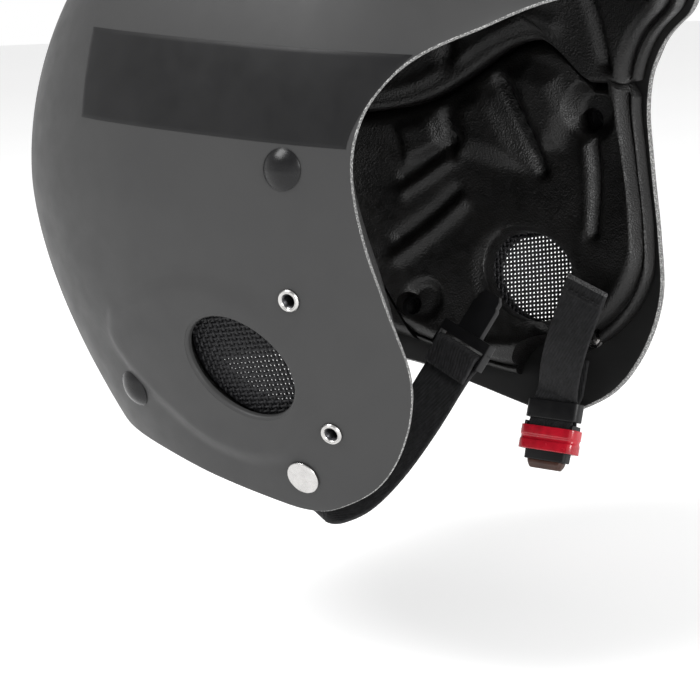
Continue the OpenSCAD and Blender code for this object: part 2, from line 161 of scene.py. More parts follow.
def fillet(path, radius, steps=4, closed=False):
    """A path with its corners rounded."""
    p = np.asarray(path, float)
    out = []
    for i, corner in enumerate(p):
        if not closed and i in (0, len(p) - 1):
            out.append(corner)
            continue
        ends = []
        for other in (p[i - 1], p[(i + 1) % len(p)]):
            side = np.linalg.norm(other - corner)
            ends.append(corner + (other - corner) / side * min(radius, 0.45 * side))
        for t in np.linspace(0, 1, steps + 1):
            out.append((1 - t) ** 2 * ends[0] + 2 * t * (1 - t) * corner + t * t * ends[1])
    return np.array(out)


# ---------- the shell's surface ----------

def drop(z):
    return np.maximum(-z, 0) / DROP_REF


def side_reach(z):
    return HALF_W * np.maximum(1 - SIDE_PULL * drop(z) ** SIDE_POWER, 0.05)


def long_reach(y, z):
    front = FRONT_R * (1 - FRONT_PULL * drop(z) ** 2)
    rear = REAR_R * np.maximum(1 - REAR_PULL * drop(z) ** REAR_POWER, 0.05)
    return np.where(y < 0, front, rear)


def dome_scale(z):
    return (1 - np.clip(z / CROWN_H, 0, 1) ** CROWN_POWER) ** (1 / CROWN_POWER)


def level(p):
    """Below 0 inside the shell's outer face, above 0 outside it."""
    x, y, z = p[..., 0], p[..., 1], p[..., 2]
    n = np.where(y < 0, FRONT_N, REAR_N)
    q = (np.abs(x) / side_reach(z)) ** n + (np.abs(y) / long_reach(y, z)) ** n
    return q ** (CROWN_POWER / n) + (np.maximum(z, 0) / CROWN_H) ** CROWN_POWER - 1


def normal_at(p):
    h = 0.3
    return unit(np.stack([level(p + e) - level(p - e) for e in np.eye(3) * h], -1))


def wall(at):
    y, z = (np.asarray(v, float) for v in at)
    n = np.where(y < 0, FRONT_N, REAR_N)
    x = np.maximum(dome_scale(z) ** n - (np.abs(y) / long_reach(y, z)) ** n, 0) ** (1 / n)
    return np.stack([side_reach(z) * x, y, z], -1)


def ring_point(angle, z):
    c, s = np.cos(np.radians(angle)), np.sin(np.radians(angle))
    n = np.where(-c < 0, FRONT_N, REAR_N)
    q = (np.abs(s) / side_reach(z)) ** n + (np.abs(c) / long_reach(-c, z)) ** n
    reach = dome_scale(z) / q ** (1 / n)
    return np.stack([reach * s, -reach * c, z], -1)


def rim_point(cols):
    """Rim at a column: columns run from the brow round the left side to the nape and back."""
    cols = np.asarray(cols, float) % ALL_COLS
    left = cols <= HALF_COLS
    r = along(RIM, np.where(left, cols, ALL_COLS - cols) / RIM_STEPS)
    p = ring_point(r[..., 0], r[..., 1])
    p[..., 0] *= np.where(left, 1, -1)
    return p


def grid_point(cols, f):
    """Outer face a fraction f of the way from the pole to the rim along each column."""
    b = unit(rim_point(cols) - HUB)
    a = np.arccos(np.clip(b @ POLE, -1, 1))[..., None]
    f = np.asarray(f, float)[..., None]
    d = (np.sin((1 - f) * a) * POLE + np.sin(f * a) * b) / np.sin(a)
    low, high = np.full(d.shape[:-1], 20.0), np.full(d.shape[:-1], 220.0)
    for _ in range(22):
        mid = (low + high) / 2
        inside = level(HUB + mid[..., None] * d) < 0
        low, high = np.where(inside, mid, low), np.where(inside, high, mid)
    return HUB + ((low + high) / 2)[..., None] * d


def seam_height(y):
    s = (y - ARCH_Y) / np.where(y < ARCH_Y, ARCH_FRONT, ARCH_REAR)
    arch = SEAM_Z + ARCH_RISE * np.exp(-s * s)
    return np.maximum(arch, np.where(y < TEMPLE_Y, TEMPLE_SEAM, 0))


def seam_at(cols, lift):
    """Fraction along each column where the face comes down to the seam."""
    low, high = np.full(len(cols), 0.05), np.ones(len(cols))
    for _ in range(16):
        mid = (low + high) / 2
        p = grid_point(cols, mid)
        above = p[:, 2] > seam_height(p[:, 1]) + lift
        low, high = np.where(above, mid, low), np.where(above, high, mid)
    return (low + high) / 2


def axes_of(*columns):
    """Matrix with three axes and an origin as its columns."""
    m = np.eye(4)
    m[:3, :4] = np.stack(columns, -1)
    return m


def wall_axes(at):
    """Local axes at a place on the left wall: X rearward, Y up the wall, Z outward."""
    p = wall(at)
    w = normal_at(p)
    v = unit(np.array([0, 0, 1.0]) - w[2] * w)
    return axes_of(np.cross(v, w), v, w, p)


def placed(points, axes):
    return np.asarray(points, float) @ axes[:3, :3].T + axes[:3, 3]


def place_in(part, axes):
    return placed(part[0], axes), part[1]


def turned(axes, angle):
    """The same axes turned about their Z."""
    m = np.eye(4)
    m[:2, :2] = [[math.cos(angle), -math.sin(angle)], [math.sin(angle), math.cos(angle)]]
    return axes @ m


def skin_height(axes, u, v):
    """Height of the outer face over a place on local axes."""
    low, high = np.full(np.shape(u), -25.0), np.full(np.shape(u), 12.0)
    for _ in range(22):
        mid = (low + high) / 2
        inside = level(placed(np.stack([u, v, mid], -1), axes)) < 0
        low, high = np.where(inside, mid, low), np.where(inside, high, mid)
    return (low + high) / 2


def line_distance(yz, points, closed=False):
    """Distance in side view from each place to a line of points, and whether it lies inside."""
    best = np.full(len(yz), 1e9)
    inside = np.zeros(len(yz), bool)
    ends = np.roll(points, -1, axis=0) if closed else points[1:]
    for a, b in zip(np.asarray(points), ends):
        ab = b - a
        t = np.clip(((yz - a) @ ab) / (ab @ ab), 0, 1)
        best = np.minimum(best, np.linalg.norm(yz - a - t[:, None] * ab, axis=1))
        crosses = (a[1] > yz[:, 1]) != (b[1] > yz[:, 1])
        rise = np.where(abs(ab[1]) < 1e-9, 1e-9, ab[1])
        inside ^= crosses & (yz[:, 0] < a[0] + (yz[:, 1] - a[1]) / rise * ab[0])
    return best, inside


# ---------- meshes ----------

def grid_quads(rows, cols, wrap_rows=False, wrap_cols=False):
    r, c = np.meshgrid(np.arange(rows if wrap_rows else rows - 1),
                       np.arange(cols if wrap_cols else cols - 1), indexing="ij")
    r2, c2 = (r + 1) % rows, (c + 1) % cols
    corners = [r * cols + c, r * cols + c2, r2 * cols + c2, r2 * cols + c]
    return np.stack(corners, -1).reshape(-1, 4)


def loft(rings, closed=False):
    """Skin over rings of equal count: a closed loop of rings, or both ends capped."""
    rings = np.asarray(rings, float)
    count, n = rings.shape[:2]
    faces = grid_quads(count, n, wrap_rows=closed, wrap_cols=True).tolist()
    if not closed:
        faces += [list(range(n)), list(range((count - 1) * n, count * n))]
    return rings.reshape(-1, 3), faces


# Radius that stands for a point on the axis of a lathed piece
POINT_R = 0.02


def lathe(profile, closed=False, steps=72):
    """Round piece about Z from (radius, height) points."""
    return loft([np.column_stack([max(r, POINT_R) * circle(steps), np.full(steps, h)])
                 for r, h in profile], closed)


def joined(parts):
    """Several (points, faces) as one."""
    points, faces, start = [], [], 0
    for p, f in parts:
        points.append(p)
        faces += [[i + start for i in face] for face in f]
        start += len(p)
    return np.concatenate(points), faces


def both_sides(part):
    points, faces = part
    return joined([(points, faces), (points * [-1, 1, 1], faces)])


def make(name, part, sharp=35.0):
    """Mesh object from (points, faces), smooth but for its sharp edges."""
    mesh = bpy.data.meshes.new(name)
    mesh.from_pydata((np.asarray(part[0]) * MM).tolist(), [], part[1])
    b = bmesh.new()
    b.from_mesh(mesh)
    bmesh.ops.recalc_face_normals(b, faces=b.faces)
    b.to_mesh(mesh)
    b.free()
    obj = bpy.data.objects.new(name, mesh)
    bpy.context.scene.collection.objects.link(obj)
    soften(obj, sharp)
    return obj


def soften(obj, sharp):
    obj.data.shade_smooth()
    obj.data.set_sharp_from_angle(angle=math.radians(sharp))


def piece(name, part, materials, slot, body, *nodes, sharp=35.0):
    """Object with its materials, the body it rides and the nodes it replaces; the slot is not
    used.
    """
    obj = make(name, part, sharp)
    for material in materials if isinstance(materials, list) else [materials]:
        obj.data.materials.append(material)
    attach(obj, body)
    if nodes:
        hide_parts(*nodes)
    return obj


def cut(obj, cutter_part, sharp=35.0):
    """Takes a closed shape out of a piece."""
    cutter = make("cutter", cutter_part)
    cutter.data.materials.append(obj.data.materials[0])
    modifier = obj.modifiers.new("cut", "BOOLEAN")
    modifier.operation = "DIFFERENCE"
    modifier.solver = "EXACT"
    modifier.object = cutter
    bpy.context.view_layer.update()
    result = bpy.data.meshes.new_from_object(
        obj.evaluated_get(bpy.context.evaluated_depsgraph_get()))
    obj.modifiers.clear()
    obj.data = result
    bpy.data.objects.remove(cutter)
    soften(obj, sharp)


# ---------- materials ----------

class Look:
    """A Principled material with short ways to add textures at real scale."""

    def __init__(self, name, colour, roughness, metallic=0.0, **values):
        self.material = bpy.data.materials.new(name)
        self.material.use_nodes = True
        self.tree = self.material.node_tree
        self.shader = self.tree.nodes["Principled BSDF"]
        self.set("Base Color", (*colour, 1))
        self.set("Roughness", roughness)
        self.set("Metallic", metallic)
        for key, value in values.items():
            self.set(key.replace("_", " "), value)
        self.place = self.tree.nodes.new("ShaderNodeTexCoord").outputs["Object"]
        self.bumps = None

    def set(self, socket, value):
        self.shader.inputs[socket].default_value = value

    def link(self, source, socket):
        self.tree.links.new(source, socket)

    def noise(self, size, detail=3.0, stretch=(1, 1, 1), distortion=0.0):
        """Soft noise with features about size mm across."""
        where = self.tree.nodes.new("ShaderNodeMapping")
        where.inputs["Scale"].default_value = stretch
        self.link(self.place, where.inputs["Vector"])
        node = self.tree.nodes.new("ShaderNodeTexNoise")
        node.inputs["Scale"].default_value = 1 / (size * MM)
        node.inputs["Detail"].default_value = detail
        node.inputs["Distortion"].default_value = distortion
        self.link(where.outputs["Vector"], node.inputs["Vector"])
        return node.outputs["Fac"]

    def cells(self, size):
        """Distance from the middle of cells about size mm across."""
        node = self.tree.nodes.new("ShaderNodeTexVoronoi")
        node.inputs["Scale"].default_value = 1 / (size * MM)
        self.link(self.place, node.inputs["Vector"])
        return node.outputs["Distance"]

    def spread(self, value, low, high, out_low, out_high):
        node = self.tree.nodes.new("ShaderNodeMapRange")
        for socket, number in zip(("From Min", "From Max", "To Min", "To Max"),
                                  (low, high, out_low, out_high)):
            node.inputs[socket].default_value = number
        self.link(value, node.inputs["Value"])
        return node.outputs["Result"]

    def blend(self, factor, a, b):
        """Colour from a to b by a factor."""
        node = self.tree.nodes.new("ShaderNodeMix")
        node.data_type = "RGBA"
        for socket, value in ((node.inputs[6], a), (node.inputs[7], b)):
            if isinstance(value, tuple):
                socket.default_value = (*value, 1)
            else:
                self.link(value, socket)
        self.link(factor, node.inputs["Factor"])
        return node.outputs[2]

    def mottle(self, size, detail, dark, light, low=0.35, high=0.65):
        """Colour that drifts from dark to light over patches about size mm across."""
        patches = self.spread(self.noise(size, detail), low, high, 0, 1)
        self.link(self.blend(patches, dark, light), self.shader.inputs["Base Color"])

    def roughness(self, value, low, high):
        self.link(self.spread(value, 0.3, 0.7, low, high), self.shader.inputs["Roughness"])

    def bump(self, height, depth, strength=1.0):
        """Adds relief of about depth mm."""
        node = self.tree.nodes.new("ShaderNodeBump")
        node.inputs["Strength"].default_value = strength
        node.inputs["Distance"].default_value = depth * MM
        self.link(height, node.inputs["Height"])
        if self.bumps is not None:
            self.link(self.bumps, node.inputs["Normal"])
        self.bumps = node.outputs["Normal"]
        self.link(self.bumps, self.shader.inputs["Normal"])


def surface(name, colour, rough, patches, gloss, relief, **values):
    """Colour in drifting patches, uneven gloss, and relief: size, detail, depth, strength.

    Relief without a detail is made of cells."""
    look = Look(name, colour, rough, **values)
    look.mottle(*patches)
    if gloss:
        look.roughness(look.noise(*gloss[:2]), *gloss[2:])
    for size, detail, depth, strength in relief:
        look.bump(look.noise(size, detail) if detail else look.cells(size), depth, strength)
    return look.material


def shell_paint(name, grey):
    tints = (grey * 0.96, grey * 0.96, grey * 0.97), (grey * 1.04,) * 3
    return surface(name, (grey,) * 3, 0.5, (38, 2, *tints), (9, 4, 0.44, 0.54),
                   [(1.6, 2, 0.012, 1), (0.22, 2, 0.012, 0.7)], Specular_IOR_Level=0.3)


def plastic_look(name, colour, low, high, coat=0.0):
    """Moulded plastic: faint colour drift, uneven gloss and a fine moulding grain."""
    tints = (tuple(c * k for c in colour) for k in (0.82, 1.2))
    return surface(name, colour, low, (6, 3, *tints), (2.5, 4, low, high), [(0.35, 2, 0.012, 1)],
                   Coat_Weight=coat, Coat_Roughness=0.12, Specular_IOR_Level=0.3)


def metal_look(name, colour, low, high, scratches=0.01):
    look = Look(name, colour, low, metallic=1.0)
    look.mottle(3, 4, tuple(c * 0.86 for c in colour), colour)
    look.roughness(look.noise(1.6, 5), low, high)
    look.bump(look.noise(1.2, 4, (0.15, 1, 1), 0.3), scratches)
    return look.material


SHELL_PAINT = shell_paint("shell_paint", 0.036)
# The inside of the shell: the same grey paint a third as bright, as painted shade.
SHELL_INSIDE_SHADE = shell_paint("shell_inside_painted_shade", 0.012)
SHELL_CUT = surface("shell_cut_edge", (0.16,) * 3, 0.7,
                    (0.55, 4, (0.10,) * 3, (0.42, 0.42, 0.41), 0.47, 0.62), None,
                    [(0.5, 4, 0.25, 1)])
FOAM = surface("skinned_foam", (0.003,) * 3, 0.42,
               (14, 3, (0.0022, 0.0021, 0.0021), (0.0046, 0.0043, 0.0041)), (4, 4, 0.34, 0.5),
               [(3.0, 3, 0.12, 0.8), (0.8, None, 0.22, 0.8), (0.35, 2, 0.10, 0.6)],
               Specular_IOR_Level=0.4)
WEBBING = surface("webbing", (0.014, 0.014, 0.015), 0.72,
                  (2.2, 4, (0.005, 0.005, 0.0055), (0.014, 0.014, 0.015)), (1.0, 3, 0.62, 0.85),
                  [(0.3, 3, 0.10, 1)], Specular_IOR_Level=0.25, Sheen_Weight=0.06)
HEM = surface("webbing_hem", (0.05,) * 3, 0.8,
              (0.7, 4, (0.018, 0.018, 0.019), (0.10,) * 3, 0.38, 0.62), None,
              [(0.5, 4, 0.3, 1)], Sheen_Weight=0.1)
THREAD = surface("screen_thread", (0.018, 0.018, 0.020), 0.5,
                 (1.1, 4, (0.006, 0.006, 0.007), (0.020, 0.020, 0.022)), None,
                 [(0.22, 3, 0.05, 1)], Specular_IOR_Level=0.3)
FILM = surface("satin_film", (0.005, 0.005, 0.0055), 0.42,
               (22, 3, (0.0045, 0.0045, 0.005), (0.0085, 0.0085, 0.009)), (7, 4, 0.38, 0.48),
               [(0.8, 2, 0.01, 1)], Specular_IOR_Level=0.22)
RIVET_BLACK = plastic_look("rivet_black", (0.004, 0.004, 0.0045), 0.2, 0.3)
BUCKLE_BLACK = plastic_look("buckle_black", (0.006, 0.006, 0.0065), 0.34, 0.46)
RED = plastic_look("release_red", (0.42, 0.008, 0.02), 0.18, 0.28, 0.5)
NOSE = plastic_look("smoky_nose", (0.055, 0.025, 0.018), 0.28, 0.4, 0.2)
NICKEL = metal_look("nickel", (0.56, 0.55, 0.54), 0.2, 0.32)
STEEL = metal_look("steel", (0.5, 0.5, 0.51), 0.26, 0.4, 0.02)
# Blackened steel for the rivet washers; the same dark steel also serves as painted shade down the
# threaded bores of the inserts.
DARK_STEEL_AND_BORE_SHADE = metal_look("blackened_steel_and_bore_shade", (0.07, 0.07, 0.075), 0.3, 0.45, 0.02)


# ---------- shell ----------

# Outline in side view of the raised ear bulge: distance back, height
EAR_BULGE = curve([(50, -37), (61, -42), (65, -54), (57, -68), (40, -82), (24, -93), (4, -98),
                   (-13, -95), (-28, -80), (-32, -62), (-27, -44), (-11, -31), (10, -26),
                   (30, -28), (50, -37)], 4)[:-1]
BULGE_RISE = 2.3
BULGE_EDGE = 8.0


def ear_bulge(p):
    """How far the ear bulge lifts the shell at points on it."""
    out = np.zeros(len(p))
    near = np.abs(p[:, 0]) > 40
    distance, inside = line_distance(p[near][:, 1:], EAR_BULGE, True)
    out[near] = BULGE_RISE * smooth(np.where(inside, distance, 0), 0, BULGE_EDGE)
    return out


def column_scale(cols, low, high):
    """Millimetres of face for each unit of fraction along the columns."""
    f = np.linspace(0, 1, 13)[:, None]
    p = grid_point(np.broadcast_to(cols, (13, len(cols))), low + (high - low) * f)
    return np.linalg.norm(np.diff(p, axis=0), axis=-1).sum(0) / (high - low)


def wall_grid(cols, fractions, depths):
    """Points at fractions (rows by columns) along the columns, sunk by depths."""
    p = grid_point(np.broadcast_to(cols, fractions.shape), fractions)
    return p - np.broadcast_to(depths, fractions.shape)[..., None] * normal_at(p)


COL_STEP = 0.25
NEAR_POLE = 0.006
OUTER_ROWS, INNER_ROWS = 150, 90
RIM_DEPTH, RIM_ROUND = 3, 0.7


def outer_shell():
    """Both skins of the shell with its rounded, speckled edge, then its holes; the inner skin gets
    painted shade, a darker copy of the paint.
    """
    cols = np.arange(0, ALL_COLS, COL_STEP)
    scale = column_scale(cols, np.full(len(cols), 0.9), np.ones(len(cols)))
    section = fillet([(RIM_DEPTH, 0), (0, 0), (0, SHELL_T), (RIM_DEPTH, SHELL_T)], RIM_ROUND, 5)
    outer_rows = np.linspace(NEAR_POLE, 1, OUTER_ROWS)[:-1, None] * (1 - RIM_DEPTH / scale)
    inner_rows = np.linspace(1, NEAR_POLE, INNER_ROWS)[1:, None] * (1 - RIM_DEPTH / scale)
    edge_rows = 1 - section[:, :1] / scale
    fractions = np.concatenate([outer_rows, edge_rows, inner_rows])
    depths = np.concatenate([np.zeros(len(outer_rows)), section[:, 1],
                             np.full(len(inner_rows), SHELL_T)])
    p = grid_point(np.broadcast_to(cols, fractions.shape), fractions)
    n = normal_at(p)
    lift = ear_bulge(p.reshape(-1, 3)).reshape(p.shape[:2]) - depths[:, None]
    obj = piece("shell", loft(p + lift[..., None] * n), [SHELL_PAINT, SHELL_CUT, SHELL_INSIDE_SHADE],
                "shell", "helmet", "outer_shell")
    first_edge = len(outer_rows) + 2
    last_edge = first_edge + len(section) - 5
    band = np.arange(len(fractions) - 1)
    kind = np.where(band < first_edge, 0, np.where(band < last_edge, 1, 2))
    index = np.concatenate([np.repeat(kind, len(cols)), [0, 2]])
    obj.data.polygons.foreach_set("material_index", index.astype(np.int32))
    cut(obj, both_sides(shell_holes()))


def ear_rings(grow_by_depth, steps=96):
    """Rings of the ear opening's oval at depths below the shell's own face."""
    axes = turned(wall_axes(EAR_AT), EAR_LEAN)
    rings = []
    for depth, grow in grow_by_depth:
        u, v = (circle(steps) * [EAR_A + grow, EAR_B + grow]).T
        rings.append(placed(np.stack([u, v, skin_height(axes, u, v) - depth], -1), axes))
    return rings


def drill(at, r, high=6.0, low=-8.0, steps=48):
    """Round cutter square to the left wall."""
    return place_in(lathe([(r, high), (r, low)], steps=steps), wall_axes(at))


def shell_holes():
    """Cutter for the left side: the ear opening with its softened edge, and the drilled holes."""
    edge = [(-4, 2.2), (0.1, 1.15), (0.35, 0.55), (0.8, 0.12), (1.3, 0)]
    ear = loft(ear_rings([(depth - BULGE_RISE, grow) for depth, grow in edge] + [(6, 0)]))
    small = [drill(at, SHANK_R + HOLE_PLAY) for at in (TEMPLE_AT, REAR_AT)]
    small += [drill(at, INSERT_R + HOLE_PLAY) for at in (UPPER_INSERT_AT, LOWER_INSERT_AT)]
    small.append(drill(STRAP_AT, STRAP_SHANK_R + HOLE_PLAY))
    return joined([ear] + small)


# ---------- side bands ----------

BAND_BACK = 64.0
BAND_LOW, BAND_HIGH = (16.0, 25.0), (45.0, 56.0)
BAND_T, BAND_LIFT = 0.35, 0.08
BAND_FRONT, BAND_SWEEP, BAND_BEND = -50.6, 17.6, 1.5
BAND_LONG, BAND_WIDE, BAND_SOFT = 116, 29, 0.9


def side_bands():
    """Film band from the face opening back, rounded a little at its corners."""
    def band_point(s, t, depth):
        z0, z1 = (low + (high - low) * t for low, high in zip(BAND_LOW, BAND_HIGH))
        front = BAND_FRONT - BAND_SWEEP * t**BAND_BEND
        p = wall((front + (BAND_BACK - front) * s, z0 + (z1 - z0) * s))
        return p - np.asarray(depth)[..., None] * normal_at(p)
    s, t = np.meshgrid(np.linspace(0, 1, 120), np.linspace(0, 1, 40), indexing="ij")
    edge = np.minimum(np.minimum(s, 1 - s) * BAND_LONG, np.minimum(t, 1 - t) * BAND_WIDE)
    thick = BAND_T * (0.25 + 0.75 * smooth(edge, 0, BAND_SOFT))
    top = band_point(s, t, -BAND_LIFT - thick).reshape(-1, 3)
    low = band_point(s, t, np.full(s.shape, -BAND_LIFT)).reshape(-1, 3)
    n = s.size
    ids = np.arange(n).reshape(s.shape)
    border = np.concatenate([ids[:-1, 0], ids[-1, :-1], ids[:0:-1, -1], ids[0, :0:-1]])
    after = np.roll(border, -1)
    quads = grid_quads(*s.shape)
    faces = np.concatenate([quads, quads[:, ::-1] + n,
                            np.stack([border, after, after + n, border + n], -1)])
    points = np.concatenate([top, low])
    for name, side in SIDES:
        piece(name + "_band", (points * [side, 1, 1], faces.tolist()), FILM, "band_film",
              "helmet", name + "_side_band")


# ---------- rivets and inserts ----------

FORMED_R, FORMED_TOP, FORMED_LOW = 3.6, -4.2, -5.2


def dome_rivet():
    """Domed head, shank and the head formed against the washer inside."""
    sphere_r = (DOME_R**2 + DOME_H**2) / (2 * DOME_H)
    r = np.linspace(0, DOME_R - 0.35, 22)
    top = HEAD_LIFT + DOME_H - sphere_r + np.sqrt(sphere_r**2 - r**2)
    rim = fillet([(r[-1], top[-1]), (DOME_R, top[-1] - 0.3), (DOME_R, HEAD_LIFT),
                  (SHANK_R, HEAD_LIFT), (SHANK_R, FORMED_TOP), (FORMED_R, FORMED_TOP),
                  (FORMED_R, FORMED_LOW), (0, FORMED_LOW)], 0.2, 3)
    return lathe([*zip(r[:-1], top[:-1]), *rim], steps=96)


def thread_profile(r, top, low, pitch=0.8, depth=0.28):
    """Edge of a threaded bore, from its mouth down."""
    count = int((top - low) / pitch)
    return [(r + depth * (k % 2), top - 0.5 * pitch * k) for k in range(2 * count)]


INSERT_LOW, NUT_R, NUT_LOW, NUT_TOP = -8, 4.4, -3.9, -2.9
BORE_R = 2.05


def insert():
    """Threaded insert: flange with a pressed ring, body with its nut, bore with thread rings."""
    outside = fillet([(INSERT_R, INSERT_LOW), (INSERT_R, NUT_LOW), (NUT_R, NUT_LOW),
                      (NUT_R, NUT_TOP), (INSERT_R, NUT_TOP), (INSERT_R, HEAD_LIFT),
                      (3.95, HEAD_LIFT), (4.0, 0.5), (3.55, 1.1), (3.1, 1.1),
                      (2.95, 0.92), (2.75, 0.92), (2.6, 0.85)], 0.16, 3)
    bore = thread_profile(BORE_R, 0.3, -7.6)
    return lathe([*outside, (2.45, 0.6), *bore, (BORE_R, INSERT_LOW)], closed=True, steps=64)


def paint_bore_shade(obj):
    """Gives the threaded bore of each insert the dark steel, as painted shade down the bore."""
    centres = np.array([face.center for face in obj.data.polygons]) / MM
    centres = np.column_stack([np.abs(centres[:, 0]), centres[:, 1:], np.ones(len(centres))])
    bore = np.zeros(len(centres), bool)
    for at in (UPPER_INSERT_AT, LOWER_INSERT_AT):
        local = centres @ np.linalg.inv(wall_axes(at)).T
        bore |= (np.hypot(local[:, 0], local[:, 1]) < 2.5) & (local[:, 2] < 0.55)
    obj.data.polygons.foreach_set("material_index", bore.astype(np.int32))


STRAP_HEAD_R, FOOT_R, FOOT_TOP, FOOT_LOW = 6.2, 3.2, -6.2, -7


def strap_rivet():
    """Flat head with a bevelled edge and a faint turned ring, shank and foot."""
    profile = [(0, 1.3), (3.6, 1.32), (3.8, 1.26), (4.0, 1.32), (5.2, 1.27), (STRAP_HEAD_R, 0.85),
               (STRAP_HEAD_R, HEAD_LIFT), (STRAP_SHANK_R, HEAD_LIFT), (STRAP_SHANK_R, FOOT_TOP),
               (FOOT_R, FOOT_TOP), (FOOT_R, FOOT_LOW), (0, FOOT_LOW)]
    return lathe(fillet(profile, 0.3, 3), steps=96)


def fasteners():
    """Domed rivets and inserts in pairs, one each side, then the two strap rivets."""
    for name, at, part in (("temple_rivet", TEMPLE_AT, dome_rivet()),
                           ("rear_rivet", REAR_AT, dome_rivet()),
                           ("upper_insert", UPPER_INSERT_AT, insert()),
                           ("lower_insert", LOWER_INSERT_AT, insert())):
        threaded = name.endswith("insert")
        obj = piece(name + "_pair", both_sides(place_in(part, wall_axes(at))),
                    [NICKEL if threaded else RIVET_BLACK, DARK_STEEL_AND_BORE_SHADE],
                    "nickel" if threaded else "rivet_black", "helmet", name + "s", sharp=30)
        if threaded:
            paint_bore_shade(obj)
    points, faces = place_in(strap_rivet(), wall_axes(STRAP_AT))
    for name, side in SIDES:
        piece(name + "_rivet_head", (points * [side, 1, 1], faces), NICKEL, "nickel", "helmet",
              name + "_strap_rivet", sharp=30)


# ---------- woven ear screens ----------

SCREEN_PITCH = 1.8
SCREEN_THREAD = 0.56
SCREEN_DEPTH = 5.25
SCREEN_TILT = math.radians(-9)
SCREEN_GROW = 2.6
SCREEN_BOW = 0.5


def thread(route, r, sides=6):
    """Round thread along a route that keeps near one plane, whose normal is Z."""
    t = unit(np.gradient(route, axis=0))
    side = unit(np.cross(t, [0, 0, 1.0]))
    up = np.cross(side, t)
    round_it = circle(sides)
    offset = round_it[:, :1] * side[:, None] + round_it[:, 1:] * up[:, None]
    return loft(route[:, None] + r * offset)


def ear_screens():
    """Plain weave of round threads over the oval, with a narrow binding round its edge."""
    a, b = EAR_A + SCREEN_GROW, EAR_B + SCREEN_GROW
    lean = EAR_LEAN - SCREEN_TILT
    c, s = math.cos(lean), math.sin(lean)
    parts = []
    for warp in (0, 1):
        for k in range(-15, 16):
            step = np.arange(-30, 30.01, SCREEN_PITCH / 6)
            fixed = np.full(len(step), k * SCREEN_PITCH)
            x, y = (fixed, step) if warp else (step, fixed)
            u, v = c * x + s * y, -s * x + c * y
            inside = (u / a) ** 2 + (v / b) ** 2 < 1
            if inside.sum() < 8:
                continue
            wave = np.cos(math.pi * step / SCREEN_PITCH) * (-1) ** (k + warp)
            bow = SCREEN_BOW * (1 - (u / a) ** 2 - (v / b) ** 2)
            z = -SCREEN_DEPTH + bow + wave * SCREEN_THREAD * 0.62
            parts.append(thread(np.stack([u, v, z], -1)[inside], SCREEN_THREAD))
    ring = fillet([(-0.4, -0.5), (1.2, -0.5), (1.2, 0.5), (-0.4, 0.5)], 0.25, 2, True)
    oval = circle(120)
    parts.append(loft([np.column_stack([oval * [a - 1 + d, b - 1 + d],
                                        np.full(len(oval), h - SCREEN_DEPTH)])
                       for d, h in ring], closed=True))
    points, faces = joined(parts)
    points = placed(points, turned(wall_axes(EAR_AT), EAR_LEAN))
    for name, side in SIDES:
        piece(name + "_ear_mesh", (points * [side, 1, 1], faces), THREAD, "ear_screen", "helmet",
              name + "_ear_screen", sharp=60)


# ---------- foam liner ----------

# Edge of the foam in section: distance in from the edge, depth below the shell's outer face
LIP = [(0.4, LINER_OUT), (0, 4.6), (0.5, 7.4), (2.0, 8.5), (3.3, 8.3), (4.0, 7.5), (4.5, 8.4),
       (5.0, 11.2), (6.6, 13.9), (9.0, 15.1), (12.0, 15.2)]
HEM_EDGE = [(0.4, LINER_OUT), (0, 5.0), (0.1, 8.6), (0.7, 11.6), (2.2, 13.9), (4.6, 15.0),
            (7.0, 15.2)]

# Relief of the side liner in side view: (distance back, height) lines and outlines,
# with how much each adds to the foam and how wide its soft edge is
SIDE_LINES = [
    ([(45, 19), (41, 10), (37, -6)], -3.4, 2.4),
    ([(21, 32), (12, 24), (4, 9), (-6, -12)], -4.0, 2.6),
    ([(-31, 0), (-33, -15), (-33, -36)], -3.2, 2.3),
    ([(-26, -2), (-28, -16), (-29, -36)], 1.3, 2.2),
    ([(60, -22), (48, -14), (36, -6)], 2.6, 3.0),
    ([(60, -16), (48, -8), (38, 0)], -2.0, 3.0),
    ([(60, -50), (46, -39), (33, -27)], 2.8, 3.4),
    ([(60, -42), (46, -31), (36, -22)], -2.2, 3.0),
    ([(52, -77), (40, -82), (28, -84)], 1.8, 2.6),
    ([(-6, -75), (-18, -81)], -1.6, 1.8),
    ([(-19, -80), (-16, -90), (-14, -104)], -3.0, 2.0)
]
SIDE_PADS = [
    ([(41, 20), (24, 27), (14, 20), (5, 3), (-5, -15), (14, -13), (37, -7)], 4.2, 11.0),
    ([(16, 33), (-2, 38), (-18, 30), (-23, 12), (-18, -4), (-4, -6), (6, 10)], 4.2, 11.0),
    ([(66, 8), (49, 16), (45, 8), (42, -4), (62, -12)], 2.4, 5.0),
    ([(-7, -79), (-16, -84), (-14, -102), (6, -105), (30, -101), (30, -88), (12, -80)], 2.6, 6.0)
]
# Dishes round the access holes: centre, flat radius, outer radius, depth
SIDE_DISHES = [((-30, 13), 6.0, 14.0, -6.5), ((46, -68), 5.5, 10.0, -3.5)]

# Channels of the crown and rear: (angle round from the face, width) going up, heights going round
UP_CHANNELS = ((0, 4.0), (40, 3.4), (66, 2.6), (112, 3.4), (150, 4.0), (180, 4.0))
CROWN_CHANNEL_Z, REAR_CHANNEL_Z = 92, -28


